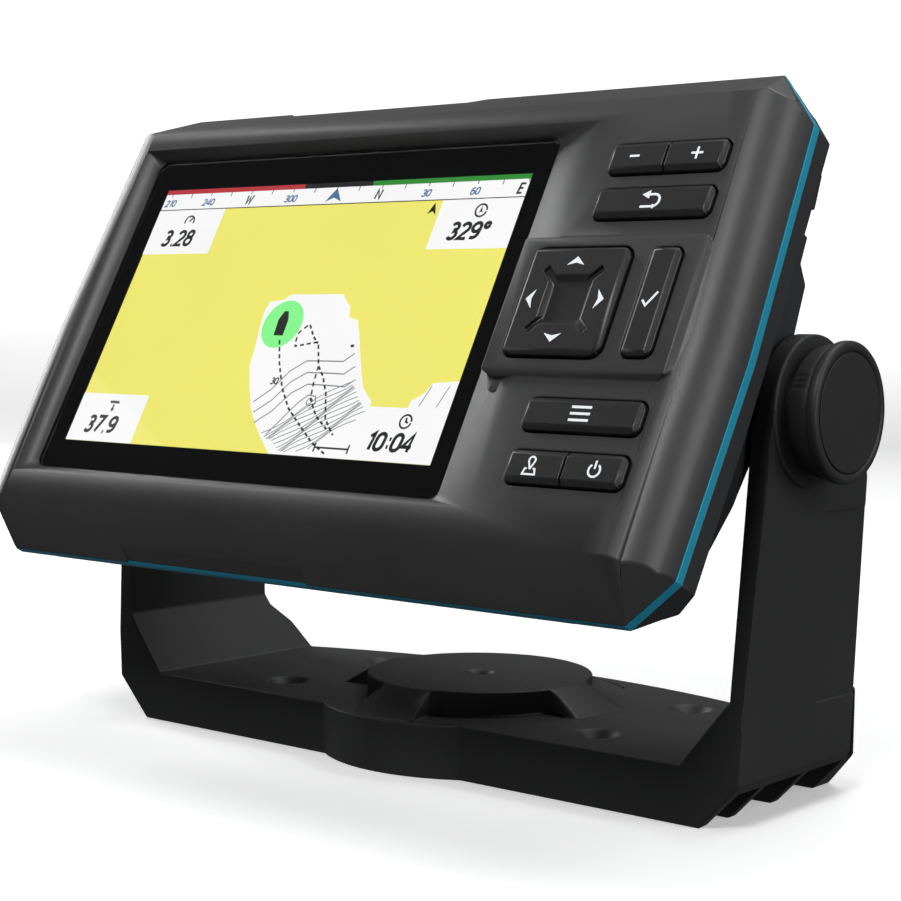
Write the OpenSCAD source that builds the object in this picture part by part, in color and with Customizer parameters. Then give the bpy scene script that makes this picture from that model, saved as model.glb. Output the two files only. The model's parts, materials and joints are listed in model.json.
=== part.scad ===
/* [Head] */
// Width of the head at its widest, across the trim
head_w = 185.6; // [185:0.2:186.6]
// How far each side draws in for every millimetre above or below its widest height
side_lean = 0.03; // [0.02:0.005:0.04]
// Height of the head outline
head_h = 113.4; // [112:0.2:116]
// Depth from the keypad face to the back of the front bezel
bezel_depth = 10.6; // [10.2:0.1:11]
// Depth of the coloured trim between bezel and rear cover
trim_depth = 2; // [1.6:0.1:2.4]
// Depth from the keypad face to the tilt axis
pivot_depth = 38.7; // [38:0.1:40]
// Radius of the round ears that carry the tilt axis
ear_r = 10.3; // [9.5:0.1:10.8]
// Lean of the head from upright in the stored pose
tilt_rest = 28.5; // [10:0.5:45]

/* [Display] */
// Width of the visible picture
screen_w = 108; // [107:0.5:109]
// Height of the visible picture
screen_h = 64.8; // [64:0.2:66]
// Sideways place of the display's centre
screen_x = -20.3; // [-20.8:0.1:-19.8]
// Height of the display's centre above the tilt axis
screen_z = 1.3; // [0.8:0.1:1.8]
// Thickness of the front lens
lens_t = 1.5; // [1.2:0.1:1.6]

/* [Keypad] */
// Length of the wide keys
key_w = 26; // [25:0.2:27]
// Height of the wide keys
key_h = 6.5; // [6:0.1:6.8]
// Side of the rocking direction key
dpad_w = 22.4; // [22:0.1:22.6]
// How far the keys stand out of the face
key_rise = 1.2; // [0.8:0.1:1.4]
// How far the raised island stands out of the face
island_rise = 1.3; // [1:0.1:1.5]
// Gap around each key
key_gap = 0.35; // [0.3:0.01:0.4]

/* [Bracket] */
// Height of the tilt axis above the mounting surface
pivot_z = 78.8; // [78:0.2:84]
// Tilt axis place front to back
pivot_y = -11.6; // [-12.5:0.1:-10.5]
// Front face of the base
base_front = -30.1; // [-31:0.1:-29.5]
// Rear edge of the base on its centre line
base_rear = 36; // [35.5:0.1:37]
// Height of the base plate
plate_z = 11.4; // [11:0.1:12]
// Height of the round top in the middle of the base
dome_z = 16.6; // [16:0.1:17.5]
// Radius of the round top
dome_r = 25.3; // [24.5:0.1:26]
// Sideways spacing of the four screw holes
holes_x = 89.2; // [88:0.2:91]
// Front to back spacing of the four screw holes
holes_y = 34.6; // [34:0.2:35.4]
// Radius of the screw holes
hole_r = 2.6; // [2.4:0.05:2.9]

/* [Knobs] */
// Radius of the knob's rim
knob_r = 13.5; // [13:0.1:14]
// Length of the knob along its axis
knob_l = 7.1; // [6.8:0.1:7.6]
// Radius of the threaded stud
stud_r = 3; // [2.9:0.05:3.05]
// Groups of grip grooves round the knob
flute_groups = 4; // [3:1:6]
// Angle between neighbouring grooves in a group
flute_step = 5.5; // [5:0.5:8]

/* [Hidden] */
$fn = 64;
big = 400;

// Colours
charcoal = "#3d3f42";
key_grey = "#2f3134";
black = "#101113";
teal = "#2084a8";
board_green = "#1f5a3a";
steel = "#a9adb2";
brass = "#b8953f";
rubber = "#1b1c1e";
flex_amber = "#b5762a";

// Head outline, measured from the tilt axis
half_w = head_w / 2;
swell_z = -4;
top_z = head_h / 2 + 0.6;
low_z = top_z - head_h;
top_cut = [9.9, 11.5];
low_cut = [7.4, 9.3];
front_y = -pivot_depth;
trim_y = front_y + bezel_depth;
cover_y = trim_y + trim_depth;

function width_at(z) = half_w - side_lean * abs(z - swell_z);

top_w = width_at(top_z - top_cut.y);
low_w = width_at(low_z + low_cut.y);
face_top = top_z - 10.4;
face_low = low_z + 8.9;
side_round = 9;
wall = 2.4;
face_t = 3;

// Window recess: edges on the keypad face, then edges beside the lens
recess_d = 3.3;
recess_out = [[-82.2, -41.2], [50.2, 42.3]];
recess_in = [[-79.3, -38.3], [38.9, 40.8]];
recess_r = 2.2;
ledge_y = front_y + 5.2;
ledge_t = 1.4;
window_w = screen_w + 5.4;
window_h = screen_h + 5.6;

// Keypad places
keys_x = 69.2;
zoom_z = 32.8;
back_z = 22.9;
menu_z = -21.4;
mark_z = -32.0;
dpad_x = 58.0;
dpad_z = 1.3;
dpad_h = dpad_w + 0.3;
select_x = 77.0;
select_w = 6.5;
select_h = 22.3;
split_gap = 0.5;
island = [[43.0, -12.8], [84.0, 15.0]];
flange_y = front_y + 3.7;
flange_t = 0.7;
flange_w = 0.8;
stem_end = front_y + 5.1;
rocker_y = front_y + 4.0;
rocker_clear = 0.5;
rocker_flange_y = front_y + 4.1;
rocker_flange_w = 0.7;
rocker_flange_r = 4;
mat_y = front_y + 6.0;
key_board_y = front_y + 8.2;

// Inside of the head
lcd_y = front_y + 5.0;
backlight_y = front_y + 6.8;
board_y = front_y + 14.0;
board_t = 1.6;
screw_x = 81.5;
screw_z = 41.6;
mid_screw_z = 46.2;
screw_places = [[-screw_x, screw_z], [screw_x, screw_z], [-screw_x, -screw_z + 1],
                [screw_x, -screw_z + 1], [-12, mid_screw_z], [-12, -mid_screw_z + 2.6]];
board_holes = [[-70, 38], [70, 38], [-70, -36], [70, -36]];
screw_r = 1.5;
socket_x = -34;
socket_z = -4;
socket_r = 9.2;
socket_y = 4;

// Clamp on the tilt axis, distances outward along X
ear_x = 86;
arm_in = 86.9;
arm_out = 91;
arm_t = 4.1;
lean = 0.046;
stud_bore = stud_r + 0.05;
boss_r = 14.6;
knob_in = arm_out + 0.6;
flute_r = 0.75;

function d(depth) = front_y + depth;

// ---- helpers ----
module along_x(x1, x2) {
    translate([x1, 0, 0]) rotate([90, 0, 90]) linear_extrude(x2 - x1) children();
}

module along_y(y1, y2) {
    translate([0, y2, 0]) rotate([90, 0, 0]) linear_extrude(y2 - y1) children();
}

module along_z(z1, z2) {
    translate([0, 0, z1]) linear_extrude(z2 - z1) children();
}

module rod_y(r, x, z, y1, y2) {
    translate([x, y2, z]) rotate([90, 0, 0]) cylinder(r = r, h = y2 - y1);
}

module rod_x(r, y, z, x1, x2) {
    translate([x1, y, z]) rotate([0, 90, 0]) cylinder(r = r, h = x2 - x1);
}

module box(x1, x2, y1, y2, z1, z2) {
    translate([x1, y1, z1]) cube([x2 - x1, y2 - y1, z2 - z1]);
}

// Everything on the far side of a plane through three points
module beyond(a, b, c) {
    n = cross(b - a, c - a);
    u = n / norm(n);
    translate(a)
        rotate([0, acos(u.z), atan2(u.y, u.x)])
            translate([-big / 2, -big / 2, 0])
                cube([big, big, big / 2]);
}

module both_sides() {
    children();
    mirror([1, 0, 0]) children();
}

// Rectangle about a centre with round corners
module round_rect(w, h, r) {
    square([w - 2 * r, h], center = true);
    square([w, h - 2 * r], center = true);
    for (i = [-1, 1], k = [-1, 1])
        translate([i * (w / 2 - r), k * (h / 2 - r)]) circle(r = r);
}

module round_box(x, z, w, h, r, y1, y2) {
    along_y(y1, y2) translate([x, z]) round_rect(w, h, r);
}

// Places the head, modelled upright about the tilt axis, into its stored lean
module head_place() {
    translate([0, pivot_y, pivot_z]) rotate([-tilt_rest, 0, 0]) children();
}

// ---- head case ----
module outline(inset = 0) {
    t = top_z - inset;
    b = low_z + inset;
    u = top_w - inset;
    v = low_w - inset;
    right = [[v - low_cut.x, b], [v, b + low_cut.y], [half_w - inset, swell_z], [u, t - top_cut.y],
             [u - top_cut.x, t]];
    n = len(right);
    polygon(concat(right, [for (i = [n - 1:-1:0]) [-right[i].x, right[i].y]]));
}

// Shallow scoops in the top and bottom edges, left of the middle
module edge_scoops() {
    along_y(d(-1), d(17.6))
        polygon([[-51.5, top_z + 1], [-48.6, top_z - 1.6], [4.4, top_z - 1.6], [11.4, top_z + 1]]);
    translate([0, d(5), low_z + 4.2]) rotate([-33, 0, 0])
        along_y(-4, 40) polygon([[-46, -9], [-46, 0], [7, 0], [13, -9]]);
}

// The space inward of the right side, with the side's long front edge rounded
module side_slab(part) {
    translate([half_w - 0.15, 0, swell_z]) rotate([0, -part * atan(side_lean), 0])
        along_z(-90, 90) {
            translate([-big, d(0)]) square([big - side_round, big]);
            translate([-big, d(0) + side_round]) square([big, big]);
            translate([-side_round, d(0) + side_round]) circle(r = side_round, $fn = 96);
        }
}

// Upper (part 1) or lower (part -1) stretch of the bezel, split at the widest height
module bezel_half(part) {
    intersection() {
        along_x(-big / 2, big / 2)
            polygon([[d(0), face_low], [d(0), face_top], [trim_y, top_z], [trim_y, low_z]]);
        box(-big / 2, big / 2, d(-1), trim_y, part > 0 ? swell_z : -big / 2, part > 0 ? big / 2 : swell_z);
        along_y(d(-1), trim_y + 1) outline(0.12);
        side_slab(part);
        mirror([1, 0, 0]) side_slab(part);
    }
}

module bezel_body() {
    bezel_half(1);
    bezel_half(-1);
}

// Slanted facets at the four front corners
module corner_facets() {
    both_sides() {
        beyond([top_w - 9.7, trim_y, top_z - 0.1], [top_w - 5.2, d(0), face_top],
               [top_w - 1, d(4.2), face_top - 0.3]);
        beyond([low_w - 1.2, d(3.8), face_low + 0.6], [low_w - 5.2, d(0), face_low],
               [low_w - 7.2, trim_y, low_z + 0.1]);
    }
}

// Sloped window recess: two crossed wedges that run on past the face
module window_recess() {
    reach = 1;
    slope = (recess_out - recess_in) * reach / recess_d;
    mouth = recess_out + slope;
    intersection() {
        along_z(-big / 2, big / 2)
            polygon([[mouth[0].x, d(-reach)], [mouth[1].x, d(-reach)], [recess_in[1].x, d(recess_d)],
                     [recess_in[0].x, d(recess_d)]]);
        along_x(-big / 2, big / 2)
            polygon([[d(-reach), mouth[0].y], [d(-reach), mouth[1].y], [d(recess_d), recess_in[1].y],
                     [d(recess_d), recess_in[0].y]]);
    }
}

lens_centre = (recess_in[0] + recess_in[1]) / 2;
lens_size = recess_in[1] - recess_in[0];

module lens_shape(grow = 0) {
    translate(lens_centre) round_rect(lens_size.x + 2 * grow, lens_size.y + 2 * grow, recess_r + grow);
}

// Raised island under the direction and select keys
module key_island() {
    c = (island[0] + island[1]) / 2;
    s = island[1] - island[0];
    slope = 1.1;
    low = [s.x / 2 + slope, s.y / 2 + slope];
    intersection() {
        along_y(d(-island_rise), d(face_t)) translate(c) round_rect(2 * low.x, 2 * low.y, 3.4);
        along_z(-big / 2, big / 2)
            polygon([[c.x - low.x, d(face_t)], [c.x - low.x, d(0.6)], [c.x - s.x / 2, d(-island_rise)],
                     [c.x + s.x / 2, d(-island_rise)], [c.x + low.x, d(0)], [c.x + low.x, d(face_t)]]);
        along_x(-big / 2, big / 2)
            polygon([[d(face_t), c.y - low.y], [d(0), c.y - low.y], [d(-island_rise), c.y - s.y / 2],
                     [d(-island_rise), c.y + s.y / 2], [d(0), c.y + low.y], [d(face_t), c.y + low.y]]);
    }
    // Pointed lip on the window slope below the island's left end
    along_y(d(1.1), d(face_t))
        polygon([[42, -11], [46.5, -11], [46.5, -16.4], [44.2, -16.4]]);
}

// Key openings: every entry is centre, width, height and corner radius
wide_holes = [[keys_x, zoom_z], [keys_x, back_z], [keys_x, menu_z], [keys_x, mark_z]];

module key_openings() {
    g = 2 * key_gap;
    for (c = wide_holes)
        round_box(c.x, c.y, key_w + g, key_h + g, 2, d(-3), d(4.5));
    round_box(dpad_x, dpad_z, dpad_w + 2 * rocker_clear, dpad_h + 2 * rocker_clear, 2.8, d(-3), d(4.5));
    round_box(select_x, dpad_z, select_w + g, select_h + g, 2, d(-3), d(4.5));
}

module front_bezel() {
    color(charcoal) head_place() difference() {
        union() {
            difference() {
                bezel_body();
                corner_facets();
                edge_scoops();
                window_recess();
                // space behind the display
                box(-85, 42, ledge_y + ledge_t, trim_y + 1, -43, 44.4);
                // space behind the keypad
                box(44.6, 85.6, d(face_t), trim_y + 1, -43, 44.4);
                box(41, 46, d(7.4), trim_y + 1, -43, 44.4);
            }
            key_island();
            for (p = screw_places)
                rod_y(3.1, p.x, p.y, d(3.4), trim_y);
        }
        along_y(d(-1), ledge_y) lens_shape(0.15);
        round_box(screen_x, screen_z, window_w, window_h, 1, d(-1), d(9));
        key_openings();
        for (p = screw_places)
            rod_y(screw_r + 0.05, p.x, p.y, d(5), trim_y + 1);
    }
}

module accent_trim() {
    color(teal) head_place() difference() {
        along_y(trim_y, cover_y) outline(0);
        along_y(trim_y - 1, cover_y + 1) outline(2.6);
        edge_scoops();
    }
}

module case_gasket() {
    color(rubber) head_place() difference() {
        along_y(trim_y, cover_y) outline(2.9);
        along_y(trim_y - 1, cover_y + 1) outline(4.9);
    }
}

// Side view of the rear cover from the trim backwards
module cover_side(inset = 0) {
    i = inset;
    polygon([[cover_y - (i > 0 ? 1 : 0), top_z - 2.4 * i], [d(16.8), top_z - 0.3 - 2.4 * i],
             [d(17.4), 53.6 - i], [d(24.8 - i), 51.6 - i], [d(26.5 - i), 38], [d(27.4 - i), 25.6 - i / 2],
             [d(30.8 - i), 23.2 - i / 2], [d(32 - i), 12], [d(31.6 - i), -22.4 + i / 2],
             [d(27.4 - i), -41.6 + i / 2], [d(20.4 - i / 2), -48.4 + i], [d(16.8), low_z + 2.6 * i + 4.2],
             [cover_y - (i > 0 ? 1 : 0), low_z + 2.6 * i]]);
}

// Rear hump with bevelled edges, half width w, between two heights, back to depth far
module hump(w, low, high, near, far, bevel) {
    intersection() {
        along_z(low, high)
            polygon([[-w, d(near)], [w, d(near)], [w, d(far - bevel)], [w - bevel, d(far)],
                     [-w + bevel, d(far)], [-w, d(far - bevel)]]);
        along_x(-w, w)
            polygon([[d(near), low], [d(far - bevel), low], [d(far), low + bevel],
                     [d(far), high - bevel], [d(far - bevel), high], [d(near), high]]);
    }
}

// Rear view of the narrower back part, which passes between the bracket's arms
module cover_core(inset = 0) {
    i = inset;
    right = [[70 - i, -58 + i], [82.8 - i, -45], [ear_x - i, 2], [ear_x - i, 44], [76 - i, 58 - i]];
    n = len(right);
    polygon(concat(right, [for (k = [n - 1:-1:0]) [-right[k].x, right[k].y]]));
}

module cover_body() {
    rim = half_w - 0.15;
    intersection() {
        along_x(-big / 2, big / 2) cover_side();
        union() {
            along_y(cover_y, d(34)) cover_core();
            intersection() {
                along_y(cover_y, d(20)) outline(0.15);
                along_z(-big / 2, big / 2)
                    polygon([[-rim, cover_y], [rim, cover_y], [rim - 0.4, d(17.2)], [ear_x - 0.6, d(20)],
                             [-ear_x + 0.6, d(20)], [-rim + 0.4, d(17.2)]]);
            }
        }
    }
    hump(60, -26, 19, 28, 44.6, 3);
    both_sides() {
        rod_x(ear_r, 0, 0, 58, ear_x);
        box(58, ear_x - 0.6, d(29), 0, -ear_r, ear_r);
    }
}

// Finger grooves and ribs on the upper back
module cover_relief() {
    both_sides() box(60, 100, d(25.2), d(40), 31.2, 36.8);
    for (i = [-5:5])
        box(i * 9 - 1.6, i * 9 + 1.6, d(25.4), d(40), 29, 46);
}

module cover_cavity() {
    difference() {
        intersection() {
            along_x(-big / 2, big / 2) cover_side(wall);
            along_y(cover_y - 1, d(40)) cover_core(wall);
        }
        for (p = screw_places)
            rod_y(4.6, p.x, p.y, cover_y - 2, d(40));
        for (p = board_holes)
            rod_y(3, p.x, p.y, board_y + board_t, d(40));
    }
    hump(60 - wall, -26 + wall, 19 - wall, 26, 44.6 - wall, 2);
}

module rear_cover() {
    color(charcoal) head_place() difference() {
        cover_body();
        edge_scoops();
        cover_relief();
        cover_cavity();
        for (p = screw_places) {
            rod_y(screw_r + 0.25, p.x, p.y, cover_y - 2, d(40));
            rod_y(3.4, p.x, p.y, d(17.6), d(40));
        }
        for (p = board_holes)
            rod_y(1.05, p.x, p.y, board_y, d(22.6));
        both_sides() rod_x(4.6, 0, 0, 70, ear_x + 1);
        rod_y(socket_r - 1.4, socket_x, socket_z, d(38), d(50));
        rod_y(socket_r + 2.4, socket_x, socket_z, d(43.6), d(50));
    }
}

module case_screws() {
    color(steel) head_place() for (p = screw_places) difference() {
        union() {
            rod_y(screw_r, p.x, p.y, d(5.4), d(17.8));
            rod_y(2.9, p.x, p.y, d(17.6), d(19.6));
        }
        rod_y_hex(1.1, p.x, p.y, d(18.4), d(20));
    }
}

module rod_y_hex(r, x, z, y1, y2) {
    translate([x, y2, z]) rotate([90, 0, 0]) cylinder(r = r, h = y2 - y1, $fn = 6);
}

// ---- display ----
module display_lens() {
    color(black, 0.6) head_place()
        along_y(d(recess_d), d(recess_d) + lens_t) lens_shape(0);
}

module lens_gasket() {
    color(rubber) head_place() difference() {
        along_y(d(recess_d) + lens_t, ledge_y) lens_shape(-0.3);
        round_box(screen_x, screen_z, window_w, window_h, 1, d(0), d(9));
    }
}

module lcd_panel() {
    color("gainsboro") head_place()
        box(screen_x - window_w / 2 + 0.3, screen_x + window_w / 2 - 0.3, lcd_y, backlight_y,
            screen_z - window_h / 2 + 0.3, screen_z + window_h / 2 - 0.3);
}

module lcd_backlight() {
    color(steel) head_place() difference() {
        box(screen_x - 58.5, screen_x + 58.5, backlight_y, backlight_y + 3.4,
            screen_z - 37.2, screen_z + 37.2);
        box(screen_x - 50, screen_x + 50, backlight_y + 2.6, backlight_y + 4, screen_z - 30, screen_z + 30);
    }
}

module lcd_ribbon() {
    w = 18;
    x = screen_x - 6;
    color(flex_amber) head_place() along_x(x, x + w)
        polygon([[backlight_y + 3.4, -28], [backlight_y + 3.4, -28.4], [board_y, -36.4],
                 [board_y, -35.6], [backlight_y + 4, -27.8]]);
}

// ---- boards ----
module main_board() {
    color(board_green) head_place() difference() {
        box(-80, 80, board_y, board_y + board_t, -42, 44);
        for (p = screw_places)
            rod_y(5, p.x, p.y, board_y - 1, board_y + 3);
        for (p = board_holes)
            rod_y(1.3, p.x, p.y, board_y - 1, board_y + 3);
    }
}

module board_screws() {
    color(steel) head_place() for (p = board_holes) {
        rod_y(1, p.x, p.y, board_y - 0.2, board_y + 7.6);
        rod_y(2.2, p.x, p.y, board_y - 1.4, board_y);
    }
}

module board_shields() {
    y = board_y + board_t;
    color(steel) head_place() {
        shield(-8, 26, y, 4, 34);
        shield(40, 62, y, 6, 30);
    }
}

module shield(x1, x2, y, z1, z2) {
    difference() {
        box(x1, x2, y, y + 3.2, z1, z2);
        box(x1 + 0.4, x2 - 0.4, y - 1, y + 2.8, z1 + 0.4, z2 - 0.4);
    }
}

// Packages soldered to the back of the board: left, right, low, high, height
chips = [[-60, -46, 8, 22, 1.4], [-40, -28, 12, 20, 1.2], [-58, -50, -22, -14, 1.6], [34, 46, -12, 0, 1.4],
         [54, 62, -26, -18, 1.6], [-14, -4, -20, -12, 1.2], [10, 24, -34, -26, 2.2], [-36, -30, 26, 34, 1]];

module board_chips() {
    y = board_y + board_t;
    color(black) head_place() for (c = chips)
        box(c[0], c[1], y, y + c[4], c[2], c[3]);
}

module gps_antenna() {
    color("tan") head_place() {
        box(-64, -46, board_y + board_t, board_y + board_t + 4, 25, 41);
        rod_y(0.8, -55, 32, board_y + board_t + 4, board_y + board_t + 4.4);
    }
}

module sonar_transformer() {
    y = board_y + board_t;
    color("dimgray") head_place() {
        box(6, 20, y, y + 3, -20, -6);
        rod_y(5.6, 13, -13, y + 3, y + 9.6);
        rod_y(6.8, 13, -13, y + 9.6, y + 11);
    }
}

module power_capacitors() {
    y = board_y + board_t;
    color("slategray") head_place() for (x = [33, 43, 53])
        rod_y(4.4, x, -32, y, y + 8);
}

module buzzer() {
    y = board_y + board_t;
    color(black) head_place() difference() {
        rod_y(6, -62, -30, y, y + 4.4);
        rod_y(1.1, -62, -30, y + 2.4, y + 5);
    }
}

module keypad_board() {
    color(board_green) head_place() difference() {
        box(47, 85, key_board_y, key_board_y + 1.2, -37, 37.4);
        for (p = screw_places)
            rod_y(3.6, p.x, p.y, key_board_y - 1, key_board_y + 3);
    }
}

module keypad_ribbon() {
    color(flex_amber) head_place() along_z(-6, 6)
        polygon([[56, key_board_y + 1.2], [60, key_board_y + 1.2], [60, key_board_y + 1.5],
                 [56.6, key_board_y + 1.5], [50.4, board_y], [49.6, board_y]]);
}

split_x = key_w / 4 + split_gap / 8;
press_points = [[keys_x - split_x, zoom_z], [keys_x + split_x, zoom_z], [keys_x, back_z], [keys_x, menu_z],
                [keys_x - split_x, mark_z], [keys_x + split_x, mark_z], [select_x, dpad_z],
                [dpad_x - 8, dpad_z], [dpad_x + 8, dpad_z], [dpad_x, dpad_z - 8], [dpad_x, dpad_z + 8]];

module key_switches() {
    color(steel) head_place() for (p = press_points) {
        box(p.x - 2.2, p.x + 2.2, key_board_y - 0.8, key_board_y, p.y - 2.2, p.y + 2.2);
        rod_y(1.1, p.x, p.y, key_board_y - 1.1, key_board_y - 0.8);
    }
}

module keypad_mat() {
    color(rubber) head_place() difference() {
        box(46.8, 85.4, mat_y, mat_y + 1, -37.4, 37.6);
        for (p = screw_places)
            rod_y(3.6, p.x, p.y, mat_y - 1, mat_y + 3);
        for (p = press_points)
            rod_y(1.6, p.x, p.y, mat_y + 0.5, mat_y + 2);
    }
}

// ---- keys ----
// Wedge that slopes the rim of a key down to its edge on four sides
module rim_slopes(x, z, w, h, top, rim, drop) {
    intersection() {
        along_z(-big / 2, big / 2)
            polygon([[x - w / 2, stem_end], [x - w / 2, top + drop], [x - w / 2 + rim, top],
                     [x + w / 2 - rim, top], [x + w / 2, top + drop], [x + w / 2, stem_end]]);
        along_x(-big / 2, big / 2)
            polygon([[stem_end, z - h / 2], [top + drop, z - h / 2], [top, z - h / 2 + rim],
                     [top, z + h / 2 - rim], [top + drop, z + h / 2], [stem_end, z + h / 2]]);
    }
}

// Key cap with a sloped rim, from its top back to its flange
module cap(x, z, w, h, rise, r, back = flange_y) {
    top = d(-rise);
    intersection() {
        round_box(x, z, w, h, r, top, back);
        rim_slopes(x, z, w, h, top, 1, 0.8);
    }
}

// Retaining flange behind the face and the stem that presses the switch
module key_back(x, z, w, h, px, pz) {
    round_box(x, z, w + 2 * flange_w, h + 2 * flange_w, 1.5, flange_y, flange_y + flange_t);
    rod_y(1.8, px, pz, flange_y + flange_t, stem_end);
}

module wide_key(z) {
    color(key_grey) head_place() {
        cap(keys_x, z, key_w, key_h, key_rise, 1.8);
        key_back(keys_x, z, key_w, key_h, keys_x, z);
    }
}

// Half of a wide key: side is -1 for the left one, 1 for the right one
module half_key(z, side) {
    edge = split_gap / 2;
    color(key_grey) head_place() intersection() {
        union() {
            cap(keys_x, z, key_w, key_h, key_rise, 1.8);
            key_back(keys_x, z, key_w, key_h, keys_x + side * split_x, z);
        }
        translate([keys_x + side * (edge + 20), 0, z]) cube([40, 100, 40], center = true);
    }
}

module zoom_out_key() { half_key(zoom_z, -1); }
module zoom_in_key() { half_key(zoom_z, 1); }
module back_key() { wide_key(back_z); }
module menu_key() { wide_key(menu_z); }
module mark_key() { half_key(mark_z, -1); }
module power_key() { half_key(mark_z, 1); }

module select_key() {
    rise = island_rise + key_rise - 0.1;
    color(key_grey) head_place() {
        cap(select_x, dpad_z, select_w, select_h, rise, 1.8);
        key_back(select_x, dpad_z, select_w, select_h, select_x, dpad_z);
    }
}

// Square pit in the middle of the direction key, with grooves towards its corners
module dpad_relief(top) {
    pit = 5.3;
    pit_floor = 4.1;
    depth = 1;
    groove_w = 1.6;
    groove_depth = 0.8;
    intersection() {
        along_z(dpad_z - 8, dpad_z + 8)
            polygon([[dpad_x - pit, top - 0.1], [dpad_x + pit, top - 0.1], [dpad_x + pit_floor, top + depth],
                     [dpad_x - pit_floor, top + depth]]);
        along_x(dpad_x - 8, dpad_x + 8)
            polygon([[top - 0.1, dpad_z - pit], [top - 0.1, dpad_z + pit], [top + depth, dpad_z + pit_floor],
                     [top + depth, dpad_z - pit_floor]]);
    }
    for (a = [45, 135, 225, 315])
        translate([dpad_x, 0, dpad_z]) rotate([0, a, 0])
            box(5.2, 9.4, top - 1, top + groove_depth, -groove_w / 2, groove_w / 2);
}

module dpad_key() {
    rise = island_rise + key_rise - 0.1;
    top = d(-rise);
    color(key_grey) head_place() difference() {
        union() {
            cap(dpad_x, dpad_z, dpad_w, dpad_h, rise, 2.4, rocker_flange_y);
            round_box(dpad_x, dpad_z, dpad_w + 2 * rocker_flange_w, dpad_h + 2 * rocker_flange_w,
                      rocker_flange_r, rocker_flange_y, rocker_flange_y + flange_t);
        }
        dpad_relief(top);
        rod_y(1.8, dpad_x, dpad_z, d(1.2), d(6));
    }
}

// Soft post that the direction key rocks on
module dpad_pivot() {
    color(rubber) head_place() {
        rod_y(1.6, dpad_x, dpad_z, d(1.5), d(3.6));
        translate([dpad_x, rocker_y, dpad_z]) sphere(r = 1.5);
    }
}

// ---- cable inlet ----
module socket_shell() {
    color(black) head_place() difference() {
        union() {
            rod_y(socket_r - 1.5, socket_x, socket_z, d(36), d(50) - 1.6);
            rod_y(socket_r + 2.2, socket_x, socket_z, d(44.6), d(46.4));
        }
        rod_y(socket_r - 2.9, socket_x, socket_z, d(38), d(50));
        socket_pin_set();
    }
}

module socket_seal() {
    color(rubber) head_place() difference() {
        rod_y(socket_r + 2, socket_x, socket_z, d(43.6), d(44.6));
        rod_y(socket_r - 1.4, socket_x, socket_z, d(43), d(46));
    }
}

module socket_nut() {
    color(steel) head_place() difference() {
        rod_y_hex(socket_r + 2.6, socket_x, socket_z, d(39.4), d(42.1));
        rod_y(socket_r - 1.42, socket_x, socket_z, d(39), d(43));
    }
}

module socket_pin_set() {
    ring = 4;
    for (i = [0:6])
        rod_y(0.55, socket_x + ring * cos(i * 360 / 7), socket_z + ring * sin(i * 360 / 7), d(33), d(43));
    rod_y(0.55, socket_x, socket_z, d(33), d(43));
}

module socket_pins() {
    color(brass) head_place() socket_pin_set();
}

// ---- clamp ----
module pivot_insert() {
    color(brass) head_place() difference() {
        rod_x(4.6, 0, 0, 72, ear_x - 0.1);
        rod_x(stud_bore, 0, 0, 71, ear_x + 1);
    }
}

module ear_washer() {
    color(rubber) head_place() difference() {
        rod_x(9, 0, 0, ear_x, ear_x + 0.7);
        rod_x(stud_bore + 0.2, 0, 0, ear_x - 1, ear_x + 2);
    }
}

module knob_washer() {
    color(steel) head_place() difference() {
        rod_x(9.6, 0, 0, arm_out + 0.1, arm_out + 0.5);
        rod_x(stud_bore + 0.1, 0, 0, arm_out - 1, arm_out + 2);
    }
}

module knob_profile() {
    l = knob_l;
    r = knob_r;
    polygon([[0, 0], [r - 2.3, 0], [r - 1.2, 0.8], [r - 0.9, 1.6], [r - 0.5, 4.2], [r - 0.7, 4.4],
             [r - 0.7, 4.8], [r, 5.2], [r, l - 0.8], [r - 0.25, l - 0.25], [r - 0.8, l], [r - 1.5, l],
             [r - 1.9, l - 0.5], [0, l - 0.5]]);
}

// Knob: a revolved grip with groups of fine flutes
module knob() {
    color(charcoal) head_place() translate([knob_in, 0, 0]) rotate([0, 90, 0]) difference() {
        rotate_extrude() knob_profile();
        for (g = [0:flute_groups - 1], i = [-1:1])
            rotate([0, 0, g * 360 / flute_groups + i * flute_step])
                translate([knob_r + 0.05, 0, 1.2]) cylinder(r = flute_r, h = 2.7, $fn = 16);
        translate([0, 0, -1]) cylinder(r = stud_r + 0.02, h = 4);
    }
}

module knob_cap() {
    color(charcoal) head_place()
        rod_x(knob_r - 2.1, 0, 0, knob_in + knob_l - 0.5, knob_in + knob_l - 0.15);
}

module knob_stud() {
    color(steel) head_place() rod_x(stud_r, 0, 0, 75, knob_in + 2.8);
}

module pivot_insert_left() { mirror([1, 0, 0]) pivot_insert(); }
module pivot_insert_right() { pivot_insert(); }
module ear_washer_left() { mirror([1, 0, 0]) ear_washer(); }
module ear_washer_right() { ear_washer(); }
module knob_left() { mirror([1, 0, 0]) knob(); }
module knob_right() { knob(); }
module knob_cap_left() { mirror([1, 0, 0]) knob_cap(); }
module knob_cap_right() { knob_cap(); }
module knob_stud_left() { mirror([1, 0, 0]) knob_stud(); }
module knob_stud_right() { knob_stud(); }
module knob_washer_left() { mirror([1, 0, 0]) knob_washer(); }
module knob_washer_right() { knob_washer(); }

// ---- bracket ----
foot_x = 78.2;
corner_z = 9.2;
corner_x = 87.2;
inner_low = [73.4, plate_z];
inner_high = [84, 24.5];
arm_rear = 15.4;
arm_step = 58;
skirt_r = 35.8;
skirt_z = 10.4;
rear_arc = 194;
bracket_wall = 2.8;
cavity_z = 8.4;
rib_t = 2;

function arm_x(z) = corner_x + lean * (z - corner_z);

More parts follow.
